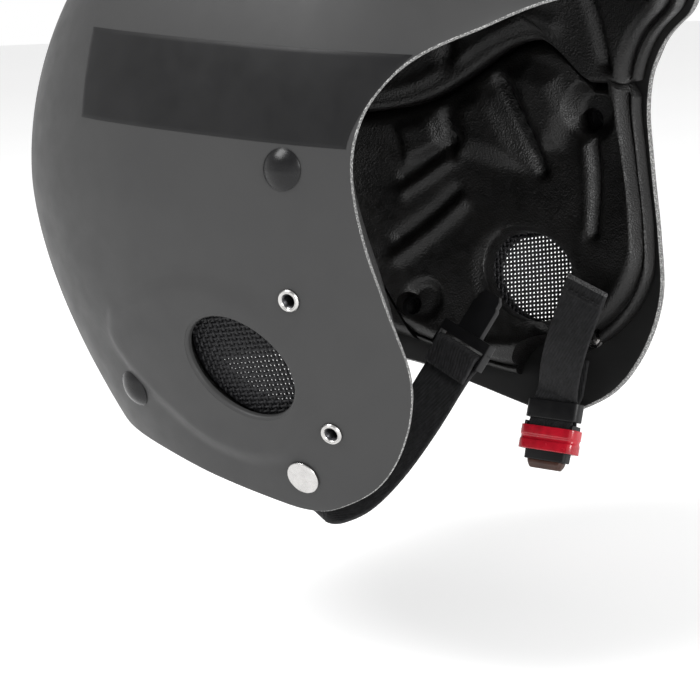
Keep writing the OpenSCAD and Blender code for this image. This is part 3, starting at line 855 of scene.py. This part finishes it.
def side_relief(p):
    """How much the moulding adds to the foam's thickness at places on the side wall."""
    yz = p[..., 1:].reshape(-1, 2)
    out = 0.35 * np.sin(yz[:, 0] / 9 + 1) * np.sin(yz[:, 1] / 7)
    for line, rise, width in SIDE_LINES:
        distance, _ = line_distance(yz, curve(line, 4))
        out += rise * np.exp(-(distance / width) ** 2)
    for outline, rise, width in SIDE_PADS:
        distance, inside = line_distance(yz, np.array(outline, float), True)
        out += rise * smooth(np.where(inside, distance, 0), 0, width)
    for centre, r_in, r_out, rise in SIDE_DISHES:
        r = np.linalg.norm(yz - centre, axis=1)
        out += rise * (1 - smooth(r, r_in, r_out))
    ear = (yz - EAR_AT) @ np.array([[math.cos(EAR_LEAN), -math.sin(EAR_LEAN)],
                                    [math.sin(EAR_LEAN), math.cos(EAR_LEAN)]])
    out -= 2.0 * (1 - smooth(np.hypot(ear[:, 0] / EAR_A, ear[:, 1] / EAR_B), 1.0, 1.35))
    return out.reshape(p.shape[:-1])


def ring_relief(p):
    """Moulding of the crown and rear: channels running up, and two that run round."""
    angle = np.degrees(np.arctan2(np.abs(p[..., 0]), -p[..., 1]))
    reach = np.hypot(p[..., 0], p[..., 1])
    out = 0.4 * np.sin(p[..., 2] / 8) * np.sin(angle / 6)
    up = smooth(p[..., 2], 96, 84)
    for at, width in UP_CHANNELS:
        out = out - 3.6 * up * np.exp(-(np.radians(angle - at) * reach / width) ** 2)
    for at, share in ((CROWN_CHANNEL_Z, 1), (REAR_CHANNEL_Z, smooth(angle, 128, 140))):
        out = out - 3.4 * share * np.exp(-((p[..., 2] - at) / 3.6) ** 2)
    return out


def liner_sections(cols, top, low, top_edge, low_edge, relief, rows):
    """Closed section of the foam at each column: outer face down, inner face back up.

    With no top_edge the two faces run on to meet their neighbours round the pole."""
    scale = column_scale(cols, top, low)
    low_edge = curve(low_edge, 4)
    f_low = low - low_edge[:, :1] / scale
    outer = top + (low - top) * np.linspace(0.02, 0.97, 14)[:, None]
    if top_edge is None:
        f_top, d_top = top[None], np.array([LINER_IN])
    else:
        top_edge = curve(top_edge, 4)[::-1]
        f_top, d_top = top + top_edge[:, :1] / scale, top_edge[:, 1]
        f_top = np.minimum(f_top, f_low[-1] - 0.002)
    t = np.linspace(0, 1, rows + 2)[1:-1, None]
    f_mid = f_low[-1] + (f_top[0] - f_low[-1]) * t
    fractions = np.concatenate([outer, f_low, f_mid, f_top])
    depths = np.concatenate([np.full(len(outer), LINER_OUT), low_edge[:, 1],
                             np.full(rows, LINER_IN), d_top])
    p = wall_grid(cols, fractions, np.full(len(fractions), LINER_IN)[:, None])
    free = smooth((low - fractions) * scale, 8, 15)
    if top_edge is not None:
        free = free * smooth((fractions - top) * scale, 2.5, 9)
    free[:len(outer)] = 0
    return wall_grid(cols, fractions, depths[:, None] + relief(p) * free)


# Pockets of the foam: radius and how deep each goes from the shell's face
CUT_TOP, THROUGH = 4, -30
WASHER_POCKET = (6.6, CUT_TOP, -6.5)
INSERT_POCKET = (6, CUT_TOP, -9.5)
STRAP_CLEAR = 17.5
EAR_POCKET = [(-3, 3.9), (6.2, 3.9), (6.3, 0.5), (11, 0.6), (13, 1.1), (15, 2.2), (20, 4.0)]


def access_holes(places):
    return [drill(at, ACCESS_R, CUT_TOP, THROUGH) for at in places]


def washer_pockets(places):
    return [drill(at, *WASHER_POCKET) for at in places]


def side_cuts():
    """Cutters for the left side liner, in the order they are taken out."""
    rivets, inserts = (TEMPLE_AT, REAR_AT), (UPPER_INSERT_AT, LOWER_INSERT_AT)
    pockets = washer_pockets(rivets) + [drill(at, *INSERT_POCKET) for at in inserts]
    return [joined(access_holes(rivets)), joined(pockets),
            drill(STRAP_AT, STRAP_CLEAR, CUT_TOP, THROUGH, 96), loft(ear_rings(EAR_POCKET))]


def foam_piece(name, part, cutters, node):
    """One pad of the liner, with its cuts taken out."""
    obj = piece(name, part, FOAM, "liner_foam", "helmet", node, sharp=50)
    for cutter in cutters:
        cut(obj, cutter, 50)


def crown_pads():
    """Crown foam: rolled lip along the face opening, plain hem along the seam."""
    cols = np.arange(0, ALL_COLS, COL_STEP)
    low = np.minimum(seam_at(cols, 0), FACE_EDGE)
    at_face = smooth(low, FACE_EDGE - 0.02, FACE_EDGE)[:, None]
    top = np.full(len(cols), 2 * NEAR_POLE)
    hem = curve(HEM_EDGE, 4)
    share = np.linspace(0, 1, 4 * (len(LIP) - 1) + 1)
    hem = np.stack([np.interp(share, np.linspace(0, 1, len(hem)), hem[:, k]) for k in (0, 1)], -1)
    lip_rings, hem_rings = (liner_sections(cols, top, low, None, edge, crown_relief, 84)
                            for edge in (LIP, hem[::4]))
    rings = hem_rings + (lip_rings - hem_rings) * at_face
    foam_piece("crown_pads", loft(rings), [], "crown_liner")


def crown_relief(p):
    """Crown moulding, with a raised roll just above the seam on each side."""
    yz = p[..., 1:].reshape(-1, 2)
    roll = curve([(75, 17), (56, 22), (37, 31), (16, 41), (-4, 52), (-16, 49)], 4)
    distance, _ = line_distance(yz, roll)
    on_side = smooth(np.abs(p[..., 0]), 50, 70)
    return ring_relief(p) + 1.8 * on_side * np.exp(-(distance.reshape(p.shape[:-1]) / 3.6) ** 2)


def lower_edge(cols):
    return FACE_EDGE + (LOW_EDGE - FACE_EDGE) * np.clip((cols - 16) / 6, 0, 1)


def side_pads():
    cols = np.arange(11, 31.01, 0.125)
    low = lower_edge(cols)
    top = np.minimum(seam_at(cols, -SEAM_GAP), low - 0.02)
    rings = liner_sections(cols, top, low, HEM_EDGE, LIP, side_relief, 80)
    shape = make("side_pads", loft(np.swapaxes(rings, 0, 1)), 50)
    shape.data.materials.append(FOAM)
    for cutter in side_cuts():
        cut(shape, cutter, 50)
    points = np.array([v.co[:] for v in shape.data.vertices]) / MM
    faces = [list(face.vertices) for face in shape.data.polygons]
    bpy.data.objects.remove(shape)
    for name, side in SIDES:
        foam_piece(name + "_side_pads", (points * [side, 1, 1], faces), [], name + "_side_liner")


def rear_pads():
    inset = 0.12
    cols = np.linspace(31 + inset, ALL_COLS - 31 - inset, 81)
    top = seam_at(cols, -SEAM_GAP)
    low = np.full(len(cols), LOW_EDGE)
    rings = liner_sections(cols, top, low, HEM_EDGE, HEM_EDGE, ring_relief, 60)
    holes = access_holes([REAR_AT]) + washer_pockets([REAR_AT])
    foam_piece("rear_pads", loft(np.swapaxes(rings, 0, 1)), [both_sides(h) for h in holes],
               "rear_liner")


# ---------- webbing ----------

RIB_PITCH = 1.4
RIB_SLANT = 0.3
RIB_RISE = 0.2
PICK_PITCH, PICK_RISE, PICK_SLANT = 1.1, 0.3, 0.35
SELVEDGE = 0.6
END_ROUND = 0.8
HEM_RISE = 0.45
BAND_STEP = 0.5
HEM_LONG = 7
STITCH_LONG, STITCH_R, STITCH_PITCH = 2.0, 0.28, 2.9
STITCH_UP, STITCH_LIFT = 5.5, 1.25
BAND_COLS, BAND_TURN = 96, 5


def band_of_webbing(centre, across, hem=0.0):
    """Band of ribbed webbing along a line, with rounded selvedges; hem thickens its far end."""
    line, s = even(np.column_stack([centre, across]), BAND_STEP)
    centre, across = line[:, :3], line[:, 3:]
    t = unit(np.gradient(centre, axis=0))
    b = unit(across - (across * t).sum(1, keepdims=True) * t)
    n = np.cross(t, b)
    edge = STRAP_W / 2 - SELVEDGE
    a = np.linspace(-edge, edge, BAND_COLS)
    turn = np.linspace(-math.pi / 2, math.pi / 2, BAND_TURN + 2)[1:-1]
    half = STRAP_T / 2 - RIB_RISE / 2
    end_fall = np.minimum(s, s[-1] - s)
    half = half * np.sqrt(np.clip(end_fall / END_ROUND, 0.15, 1))
    if hem:
        start = s[-1] - hem
        fall = np.clip(end_fall / END_ROUND, 0, 1)
        half = half + HEM_RISE * smooth(s, start - END_ROUND, start) * fall
    rib = np.abs(np.sin(math.pi * (a[None] + RIB_SLANT * s[:, None]) / RIB_PITCH)) - 0.5
    pick = PICK_RISE * np.sin(2 * math.pi * (s[:, None] - PICK_SLANT * a[None]) / PICK_PITCH)
    face = half[:, None] + RIB_RISE * (rib + pick * (rib + 0.4))
    under = half[:, None] + RIB_RISE * (rib[:, ::-1] + pick[:, ::-1] * (rib[:, ::-1] + 0.4))
    side_a = edge + SELVEDGE * np.cos(turn)
    rows = [
        (np.broadcast_to(a, face.shape), face),
        (np.broadcast_to(side_a, (len(s), len(turn))), -half[:, None] * np.sin(turn)),
        (np.broadcast_to(a[::-1], under.shape), -under),
        (np.broadcast_to(-side_a, (len(s), len(turn))), half[:, None] * np.sin(turn))
    ]
    u = np.concatenate([r[0] for r in rows], 1)[..., None]
    h = np.concatenate([r[1] for r in rows], 1)[..., None]
    return loft(centre[:, None] + u * b[:, None] + h * n[:, None])


def stitches(middle, forward, up):
    """Row of sewn stitches across a band: short threads that dip at both ends."""
    t = np.linspace(-1, 1, 9)
    one = thread(np.stack([t * STITCH_LONG / 2, t * 0, 0.35 - 0.6 * t**4], -1), STITCH_R)
    return joined([place_in(one, axes_of(forward, np.cross(up, forward), up, middle + k * forward))
                   for k in np.arange(-8.7, 9, STITCH_PITCH)])


joint_at = {j["name"]: np.array(j["pos_m"]) / MM for j in frame["joints"] if "pos_m" in j}
strap_axes = wall_axes(STRAP_AT)
bar_axes = strap_axes.copy()
bar_axes[:3, 3] = joint_at["buckle_tilt"]
BAR_LEAD = STRAP_MID - (np.linalg.inv(strap_axes) @ [*joint_at["buckle_tilt"], 1])[2]
TAIL_BEND, TAIL_LEAN = 12.0, math.radians(19.5)
LOOP_R = BAR_R + HOLE_PLAY + STRAP_T / 2


def left_strap():
    """One band from the rivet down round the buckle's bar, back up through the keeper."""
    lead = curve([(0, LOOP_R), (2.5, 1.6), (4.5, 1.1), (11, 1.1), (13.5, 2.4), (15.5, BAR_LEAD),
                  (18, BAR_LEAD), (30, BAR_LEAD)], 6)[::-1]
    turn = np.linspace(math.pi / 2, 3 * math.pi / 2, 14)[1:-1]
    loop = LOOP_R * np.stack([np.cos(turn), np.sin(turn)], -1)
    fold = curve([(0, -LOOP_R), (2.5, -1.6), (4.5, -1.1), (9, -1.1)], 6)
    tail = curve([(2.5, -1.3), (6, -3.9), (12, -7.6), (22, -11.8), (36, -15.2), (50, -18)], 6)
    straight = np.concatenate([lead, loop, fold])
    points = np.column_stack([np.zeros(len(straight)), straight])
    side = np.tile([1.0, 0, 0], (len(points), 1))
    c, s = math.cos(TAIL_LEAN), math.sin(TAIL_LEAN)
    leaned = np.column_stack([-s * tail[:, 0], TAIL_BEND + c * tail[:, 0], tail[:, 1]])
    points = np.concatenate([points, leaned])
    side = np.concatenate([side, np.tile([c, s, 0], (len(leaned), 1))])
    side = side @ bar_axes[:3, :3].T
    obj = piece("left_chin_strap", band_of_webbing(placed(points, bar_axes), side, HEM_LONG),
                [WEBBING, HEM], "webbing", "left_strap_body", "left_strap", sharp=50)
    mark_end(obj, 3)
    up = unit(bar_axes[:3, :3] @ np.array([-s, c, -0.2]))
    across = bar_axes[:3, :3] @ np.array([c, s, 0])
    inward = np.cross(up, across)
    inward = inward if inward @ bar_axes[:3, 2] < 0 else -inward
    seam = placed(leaned[-1], bar_axes) - STITCH_UP * up + STITCH_LIFT * inward
    piece("left_hem_stitches", stitches(seam, across, inward), WEBBING, "webbing",
          "left_strap_body", sharp=60)


def mark_end(obj, rows):
    """Gives the last rows of a band, with its cut end, the second material."""
    index = np.zeros(len(obj.data.polygons), np.int32)
    index[-(2 + rows * 2 * (BAND_COLS + BAND_TURN)):] = 1
    index[-2] = 0
    obj.data.polygons.foreach_set("material_index", index)


RIGHT_LEAN = math.radians(38)
RIGHT_ROUTE = np.array([
    [-83.5, -11.7, -104.6], [-79.7, -9.5, -110], [-76, -9.5, -114.6], [-69, -12, -116],
    [-61, -18, -112], [-54, -27, -101], [-47, -36, -86], [-41, -43, -72], [-37.5, -46.5, -64.5]])
RIGHT_ACROSS = np.array([[-0.2, 0.79, 0.58], [0.24, 0.92, 0.31]])


def tongue_axes():
    """Axes at the tongue's bar: X across the webbing, Y along it, Z square to it."""
    line = curve(RIGHT_ROUTE, 4)
    t = unit(line[-1] - line[-2])
    b = RIGHT_ACROSS[1] - (RIGHT_ACROSS[1] @ t) * t
    return axes_of(unit(b), t, np.cross(unit(b), t), joint_at["tongue_tilt"])


def right_strap():
    """One band from the rivet along its hidden route, round the tongue's bar and sewn back."""
    tab_axes = turned(strap_axes, RIGHT_LEAN)
    tab = placed([(0, y, STRAP_MID) for y in (9, 4, -2, -6)], tab_axes) * [-1, 1, 1]
    tab_across = tab_axes[:3, 0] * [-1, 1, 1]
    if tab_across @ RIGHT_ACROSS[0] < 0:
        tab_across = -tab_across
    r = TONGUE_BAR_R + HOLE_PLAY + STRAP_T / 2
    turn = np.linspace(math.pi / 2, -math.pi / 2, 12)
    loop = np.concatenate([[(0, -4.6, 0.5)],
                           np.column_stack([turn * 0, r * np.cos(turn), r * np.sin(turn)]),
                           [(0, -3, -2.1), (0, -6, -1.9), (0, -9, -1.9)]])
    line = np.concatenate([tab, RIGHT_ROUTE[1:-1], placed(loop, tongue_axes())])
    share = np.concatenate([np.zeros(len(tab)), np.clip(np.arange(1, 8) / 3, 0, 1),
                            np.ones(len(loop))])
    side = RIGHT_ACROSS[0] + share[:, None] * (RIGHT_ACROSS[1] - RIGHT_ACROSS[0])
    side[:len(tab)] = tab_across
    both = curve(np.column_stack([line, side]), 6)
    piece("right_chin_strap", band_of_webbing(both[:, :3], both[:, 3:]), WEBBING, "webbing",
          "right_strap_body", "right_strap", sharp=50)


# ---------- keeper, buckle and tongue ----------

def box_ring(half_w, half_t, radius, y, steps=6):
    """Rounded rectangle across local X and Z at a height along local Y."""
    radius = min(radius, half_w - 0.01, half_t - 0.01)
    ring = []
    for k, (sx, sz) in enumerate(((1, 1), (-1, 1), (-1, -1), (1, -1))):
        for a in np.linspace(k * math.pi / 2, (k + 1) * math.pi / 2, steps):
            ring.append((sx * (half_w - radius) + radius * math.cos(a), y,
                         sz * (half_t - radius) + radius * math.sin(a)))
    return ring


def box_loft(section, closed=False):
    """Loft over (y, half width, half thickness, corner radius) rows with its edges rounded."""
    rows = fillet(section, 0.45, 3, closed)
    return loft([box_ring(w, t, r, y) for y, w, t, r in rows], closed)


def arms(section, offset):
    """The same arm on both sides of the middle."""
    points, faces = box_loft(section)
    return [(points + [side * offset, 0, 0], faces) for side in (-1, 1)]


KEEPER_LOW, KEEPER_HIGH = 3.4, 11.2
PRONG_SLOT = (6.5, 1.3, 0.5)


def keeper():
    """Loop round both layers of the left strap."""
    outer, inner = (12.6, 3.3, 2.2), (11.7, 2.4, 1.4)
    part = box_loft([(KEEPER_LOW, *outer), (KEEPER_HIGH, *outer),
                     (KEEPER_HIGH, *inner), (KEEPER_LOW, *inner)], True)
    piece("keeper_loop", place_in(part, bar_axes), BUCKLE_BLACK, "buckle_black",
          "left_strap_body", "strap_keeper")


def housing():
    """Body of the buckle, with two arms that hold the bar."""
    body = box_loft([(-3.9, 12, 3.2, 1.6), (-9.6, 12, 3.2, 1.6), (-9.7, 10.2, 2.9, 1.5),
                     (-14, 10, 2.9, 1.5), (-14, *PRONG_SLOT), (-7, *PRONG_SLOT)])
    sides = arms([(1.8, 0.6, 3.0, 0.5), (1.0, 0.6, 3.2, 0.5), (-4.4, 0.6, 3.2, 0.5)], 11.4)
    piece("buckle_body_shell", place_in(joined([body] + sides), bar_axes), BUCKLE_BLACK,
          "buckle_black", "buckle_body", "buckle_housing")


def nose():
    """Rounded end of the buckle, with the slot that the prong goes into."""
    part = box_loft([(-14.05, 8.6, 2.6, 1.4), (-15.6, 8.2, 2.6, 1.6), (-17.0, 7.6, 2.0, 1.6),
                     (-17.5, 7.2, 1.5, 1.2), (-17.4, *PRONG_SLOT), (-14.05, *PRONG_SLOT)], True)
    piece("buckle_nose_tip", place_in(part, bar_axes), NOSE, "nose_tint", "buckle_body",
          "buckle_nose")


COLLAR_LOW, COLLAR_WALL = -10, 1.35
COLLAR_INNER = (12.25, 3.45)
GROOVE_AT, GROOVE_DEPTH = -5.0, 0.7


def collar():
    """Red release collar: rounded ends and a groove across the middle of each face."""
    width, thickness = (half + COLLAR_WALL for half in COLLAR_INNER)
    places = ((0, 0), (GROOVE_AT + 1.1, 0), (GROOVE_AT + 0.55, GROOVE_DEPTH),
              (GROOVE_AT - 0.55, GROOVE_DEPTH), (GROOVE_AT - 1.1, 0), (COLLAR_LOW, 0))
    section = [(y, width, thickness - depth, 3.6) for y, depth in places]
    section += [(COLLAR_LOW, *COLLAR_INNER, 1.2), (0, *COLLAR_INNER, 1.2)]
    piece("release_collar_red", place_in(box_loft(section, True), bar_axes), RED, "release_red",
          "collar_body", "release_collar", sharp=40)


PLATE_HALF_T = 1.9


def tongue():
    """Plate that clips into the buckle: a frame round the bar and a stepped prong."""
    wide = STRAP_W / 2 + 2
    plate = box_loft([(4, wide, PLATE_HALF_T, 0.9), (8, wide, PLATE_HALF_T, 0.9)])
    sides = arms([(-2.2, 0.8, PLATE_HALF_T, 0.7), (4.4, 0.8, PLATE_HALF_T, 0.7)], wide - 0.8)
    bar = lathe([(TONGUE_BAR_R, -wide + 0.4), (TONGUE_BAR_R, wide - 0.4)], steps=32)
    bar = (bar[0][:, [2, 1, 0]], bar[1])
    prong = box_loft([(7.6, 6, 1.1, 0.5), (19, 6, 1.1, 0.5), (20, 5.2, 1.1, 0.5),
                      (22, 5.2, 1.1, 0.5), (24, 3.6, 0.8, 0.4)])
    piece("buckle_tongue_plate", place_in(joined([plate, bar, prong] + sides), tongue_axes()),
          BUCKLE_BLACK, "buckle_black", "tongue_body", "buckle_tongue")


# ---------- parts kept from the CAD ----------

def cad_metal():
    """Washers, spacers, bar and spring keep their CAD shape; the rivet washers get blackened
    steel, the rest plain steel.
    """
    for node in ("rivet_washers", "left_strap_spacer", "right_strap_spacer", "left_strap_washer",
                 "right_strap_washer", "buckle_bar", "release_spring"):
        obj = frame["nodes"][node]
        obj.data.materials.clear()
        obj.data.materials.append(DARK_STEEL_AND_BORE_SHADE if node == "rivet_washers" else STEEL)


# ---------- floor, lights and camera ----------

FLOOR_DROP = 45.0
FLOOR_R = 9000.0


def floor():
    edge = circle(128) * FLOOR_R
    height = cad_low[2] / MM - FLOOR_DROP
    ring = np.column_stack([edge, np.full(len(edge), height)])
    obj = make("floor", (ring, [list(range(len(edge)))]))
    look = Look("pale_floor", (0.9, 0.9, 0.9), 0.95, Specular_IOR_Level=0.1,
                Emission_Color=(1, 1, 1, 1), Emission_Strength=0.35)
    look.mottle(300, 3, (0.89, 0.89, 0.89), (0.91, 0.91, 0.91), 0.3, 0.7)
    obj.data.materials.append(look.material)


def stand(name, data, axes):
    """Puts a light or camera in the scene at its axes, in metres."""
    obj = bpy.data.objects.new(name, data)
    obj.matrix_world = Matrix(axes.tolist())
    bpy.context.scene.collection.objects.link(obj)
    return obj


def aimed(location, target, size, power, name):
    """Square soft light at a place, facing a target."""
    light = bpy.data.lights.new(name, "AREA")
    light.shape = "RECTANGLE"
    light.size, light.size_y = size
    light.energy = power
    back = unit(np.array(location, float) - np.array(target, float))
    right = unit(np.cross([0, 0, 1.0], back))
    stand(name, light, axes_of(right, np.cross(back, right), back, location))


def studio():
    """White round the horizon, dimmer overhead, with soft lights from both sides."""
    world = bpy.data.worlds.new("studio")
    world.use_nodes = True
    tree = world.node_tree
    place = tree.nodes.new("ShaderNodeTexCoord")
    split = tree.nodes.new("ShaderNodeSeparateXYZ")
    tree.links.new(place.outputs["Generated"], split.inputs["Vector"])
    fade = tree.nodes.new("ShaderNodeMapRange")
    for socket, number in zip(("From Min", "From Max", "To Min", "To Max"), (0.12, 0.5, 1.0, 0.5)):
        fade.inputs[socket].default_value = number
    tree.links.new(split.outputs["Z"], fade.inputs["Value"])
    tree.links.new(fade.outputs["Result"], tree.nodes["Background"].inputs["Strength"])
    tree.nodes["Background"].inputs["Color"].default_value = (1, 1, 1, 1)
    bpy.context.scene.world = world
    aimed((-1.3, 0.9, 1.9), (0, 0, 0), (1.2, 1.2), 42, "key")
    aimed((-0.9, -1.8, 0.9), (0, 0, 0), (0.9, 0.9), 6, "fill")
    aimed((-0.6, -1.6, 0.5), (0.08, 0, -0.02), (0.5, 0.5), 14, "inside_light")
    bpy.context.scene.view_settings.view_transform = "Standard"


def camera():
    """Camera in front of the wearer's right, a little above the widest ring."""
    forward = np.array([0.7935, 0.5784, -0.1894])
    right = np.array([0.5833, -0.8115, -0.0350])
    up = np.array([0.1739, 0.0827, 0.9813])
    data = bpy.data.cameras.new("camera")
    data.sensor_width = 36
    data.lens = 97.9
    axes = axes_of(right, up, -forward, (-0.5969, -0.4082, 0.0682))
    bpy.context.scene.camera = stand("camera", data, axes)


for step in (camera, studio, floor, cad_metal, outer_shell, side_bands, fasteners, ear_screens,
             crown_pads, side_pads, rear_pads, left_strap, right_strap, keeper, housing, nose,
             collar, tongue):
    step()
